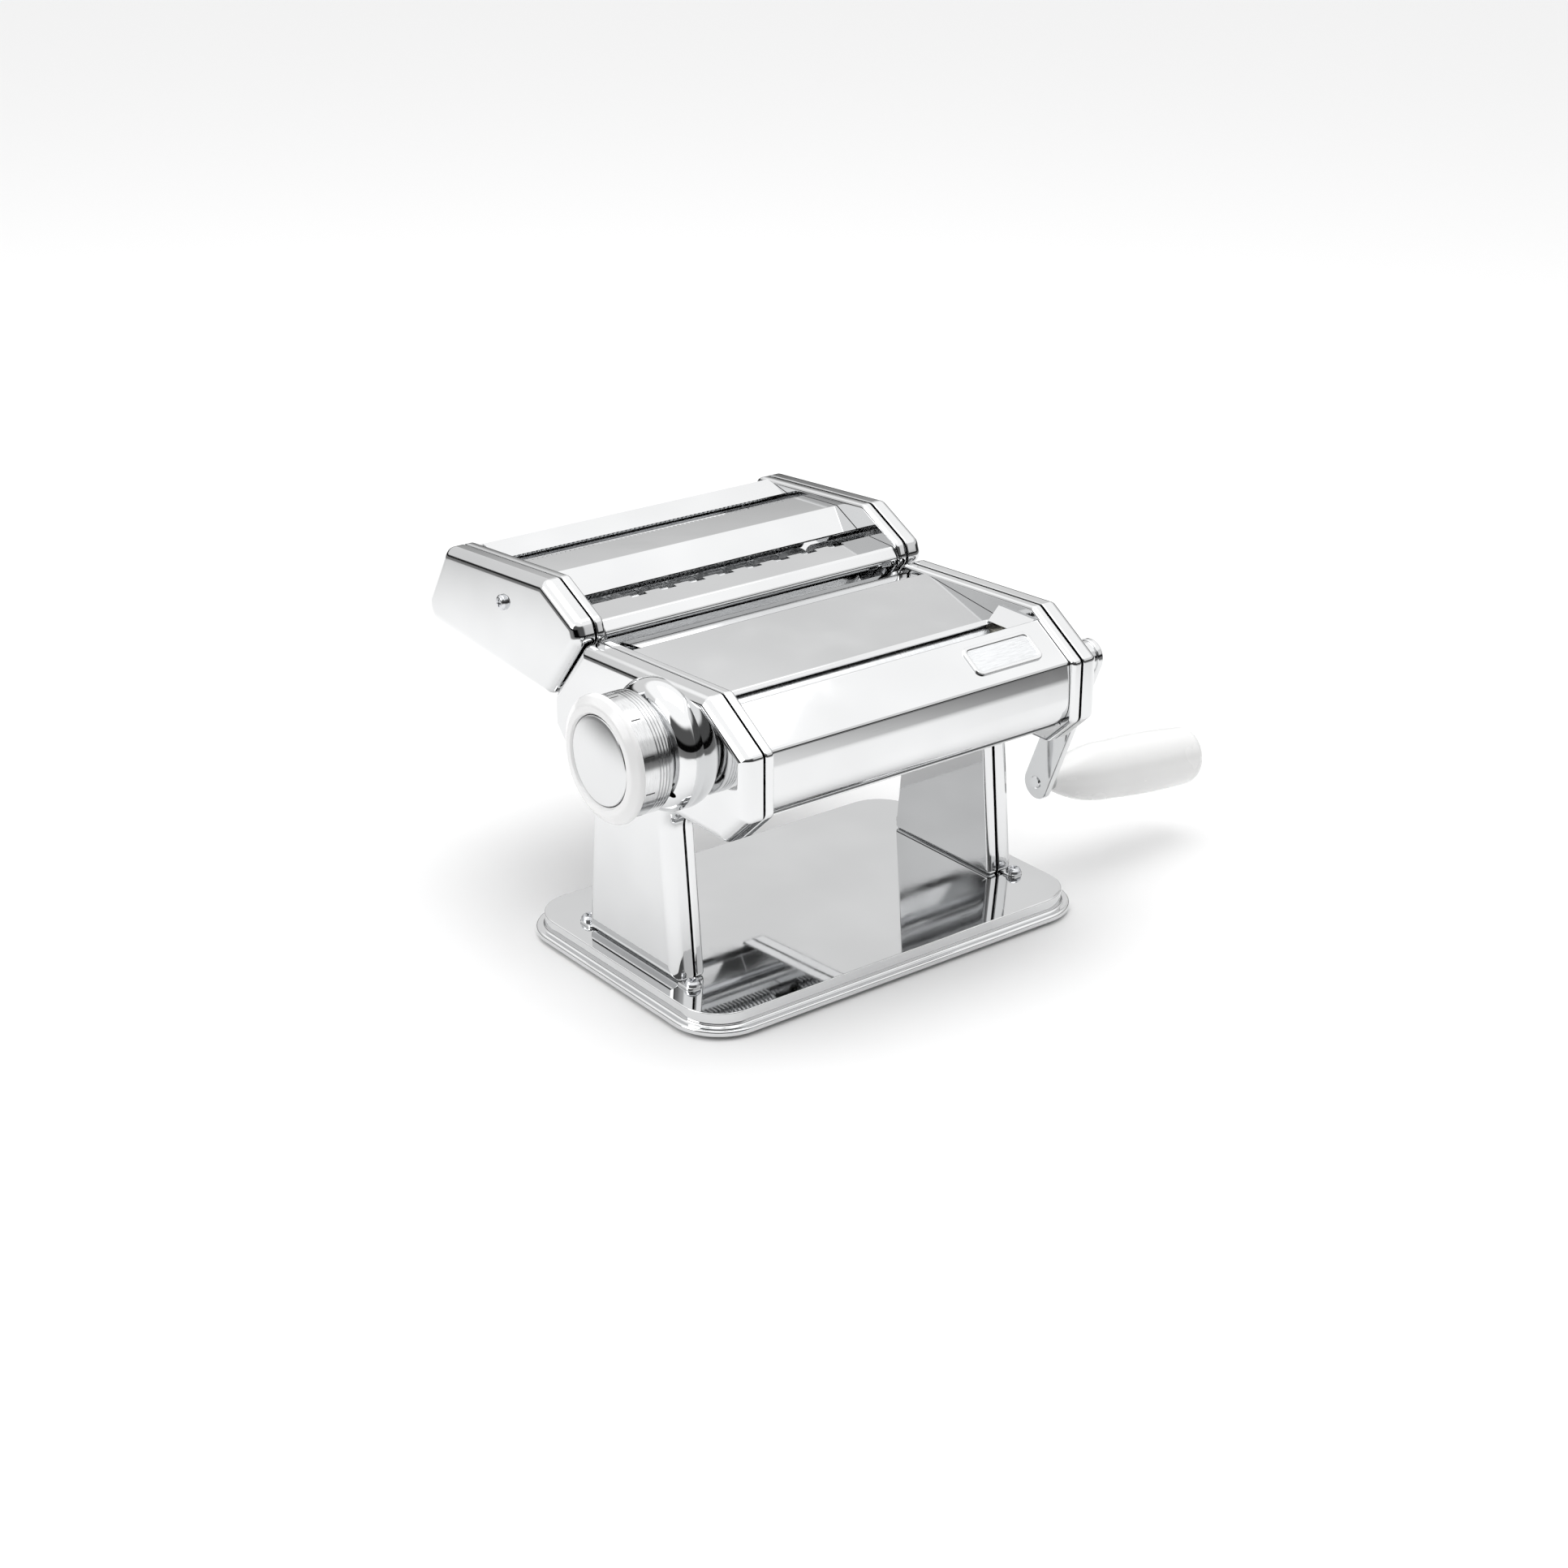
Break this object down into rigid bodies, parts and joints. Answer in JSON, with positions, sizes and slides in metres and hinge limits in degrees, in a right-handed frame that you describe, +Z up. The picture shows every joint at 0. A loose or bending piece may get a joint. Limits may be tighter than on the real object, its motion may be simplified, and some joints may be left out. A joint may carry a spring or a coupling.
{
  "type": "manual pasta roller",
  "caption": "Hand-cranked pasta roller with a gap regulator knob, a removable crank and a clip-on noodle cutter unit of two widths, on a low chromed tray with rubber feet.",
  "frame": {"origin": "on the table, under the middle of the two legs", "axes": "+X along the rollers towards the crank, -Y towards the side the sheet is drawn from, +Y towards the cutter unit, +Z up"},
  "size_m": [0.3433, 0.2454, 0.1672],
  "materials": {
    "tray_chrome": "mirror-bright pressed steel",
    "cover_chrome": "mirror-bright pressed steel",
    "frame_steel": "satin",
    "panel_steel": "polished sheet",
    "guide_steel": "polished sheet",
    "roller_steel": "fine turned",
    "gear_steel": "sintered, oiled",
    "bush_polymer": "satin",
    "rod_steel": "bright drawn",
    "screw_steel": "bright zinc plate",
    "knob_chrome": "mirror plate",
    "knob_ring": "pale gloss",
    "knob_disc": "satin",
    "spring_steel": "oiled wire",
    "crank_chrome": "mirror plate",
    "grip_white": "gloss",
    "foot_rubber": "matt",
    "cutter_chrome": "bright pressed steel",
    "comb_steel": "satin"
  },
  "bodies": {
    "machine_frame": {"base_plate": "tray_chrome", "rubber_feet": "foot_rubber", "base_screws": "screw_steel", "frame_nuts": "screw_steel", "right_side_frame": "frame_steel", "left_side_frame": "frame_steel", "right_outer_cover": "cover_chrome", "left_outer_cover": "cover_chrome", "crank_bush": "crank_chrome", "front_panel": "panel_steel", "badge_plate": "panel_steel", "rear_panel": "panel_steel", "hopper_slope": "guide_steel", "end_guides": "guide_steel", "tie_rods": "rod_steel", "hanger_rod": "rod_steel", "front_scraper": "comb_steel", "rear_scraper": "comb_steel", "roller_bushes": "bush_polymer", "regulator_dome": "knob_chrome", "index_pin": "screw_steel"},
    "fixed_roller": {"fixed_roller": "roller_steel", "fixed_roller_gear": "gear_steel"},
    "crank": {"crank_shaft": "crank_chrome", "crank_arm": "crank_chrome", "crank_grip_pin": "crank_chrome"},
    "crank_grip": {"crank_grip": "grip_white"},
    "regulator_spindle": {"regulator_spindle": "rod_steel", "spindle_washer": "screw_steel", "spindle_screw": "screw_steel", "regulator_spring": "spring_steel"},
    "regulator_knob": {"knob_drum": "knob_chrome", "knob_ring": "knob_ring", "knob_cap": "knob_disc"},
    "roller_carriage": {"right_carriage_block": "bush_polymer", "left_carriage_block": "bush_polymer"},
    "adjustable_roller": {"adjustable_roller": "roller_steel", "adjustable_roller_gear": "gear_steel"},
    "cutter_unit": {"cutter_right_plate": "frame_steel", "cutter_left_plate": "frame_steel", "cutter_right_cover": "cutter_chrome", "cutter_left_cover": "cutter_chrome", "cutter_cover_screws": "screw_steel", "cutter_tie_rods": "rod_steel", "cutter_rod_nuts": "screw_steel", "cutter_front_panel": "panel_steel", "cutter_back_panel": "panel_steel", "fine_rear_guide": "panel_steel", "ridge_guide": "panel_steel", "attachment_hooks": "frame_steel", "fine_combs": "comb_steel", "broad_combs": "comb_steel"},
    "fine_front_cutter": {"fine_front_cutter": "roller_steel", "fine_front_gear": "gear_steel"},
    "fine_rear_cutter": {"fine_rear_cutter": "roller_steel", "fine_rear_gear": "gear_steel"},
    "broad_front_cutter": {"broad_front_cutter": "roller_steel", "broad_front_gear": "gear_steel"},
    "broad_rear_cutter": {"broad_rear_cutter": "roller_steel", "broad_rear_gear": "gear_steel"}
  },
  "joints": [
    {"name": "fixed_roller_spin", "type": "hinge", "parent": "machine_frame", "child": "fixed_roller", "pos_m": [0, -0.062, 0.1223], "axis": [1, 0, 0], "continuous": true},
    {"name": "crank_insert", "type": "slide", "parent": "fixed_roller", "child": "crank", "axis": [1, 0, 0], "range_m": [0, 0.03]},
    {"name": "grip_spin", "type": "hinge", "parent": "crank", "child": "crank_grip", "pos_m": [0.114, -0.03297, 0.05044], "axis": [0.9936, 0, -0.1132], "continuous": true},
    {"name": "regulator_turn", "type": "hinge", "parent": "machine_frame", "child": "regulator_spindle", "pos_m": [0, -0.02865, 0.1223], "axis": [1, 0, 0], "range_deg": [0, 288]},
    {"name": "regulator_pull", "type": "slide", "parent": "regulator_spindle", "child": "regulator_knob", "axis": [-1, 0, 0], "range_m": [0, 0.004], "stiffness_N_per_m": 800, "springref_m": -0.01, "deforming": ["regulator_spring"]},
    {"name": "roller_gap", "type": "slide", "parent": "machine_frame", "child": "roller_carriage", "axis": [0, 1, 0], "range_m": [-0.0023, 0]},
    {"name": "adjustable_roller_spin", "type": "hinge", "parent": "roller_carriage", "child": "adjustable_roller", "pos_m": [0, -0.0275, 0.1223], "axis": [1, 0, 0], "continuous": true},
    {"name": "cutter_lift", "type": "slide", "parent": "machine_frame", "child": "cutter_unit", "axis": [0, -0.6363, 0.7714], "range_m": [0, 0.045]},
    {"name": "fine_front_spin", "type": "hinge", "parent": "cutter_unit", "child": "fine_front_cutter", "pos_m": [0, 0.10475, 0.145], "axis": [1, 0, 0], "continuous": true},
    {"name": "fine_rear_spin", "type": "hinge", "parent": "cutter_unit", "child": "fine_rear_cutter", "pos_m": [0, 0.12025, 0.145], "axis": [1, 0, 0], "continuous": true},
    {"name": "broad_front_spin", "type": "hinge", "parent": "cutter_unit", "child": "broad_front_cutter", "pos_m": [0, 0.05425, 0.141], "axis": [1, 0, 0], "continuous": true},
    {"name": "broad_rear_spin", "type": "hinge", "parent": "cutter_unit", "child": "broad_rear_cutter", "pos_m": [0, 0.06975, 0.141], "axis": [1, 0, 0], "continuous": true}
  ],
  "couplings": [
    {"joint": "regulator_turn", "follows": "roller_gap", "rad_per_m": -2185},
    {"joint": "adjustable_roller_spin", "follows": "fixed_roller_spin", "ratio": -1},
    {"joint": "fine_rear_spin", "follows": "fine_front_spin", "ratio": -1},
    {"joint": "broad_rear_spin", "follows": "broad_front_spin", "ratio": -1}
  ]
}
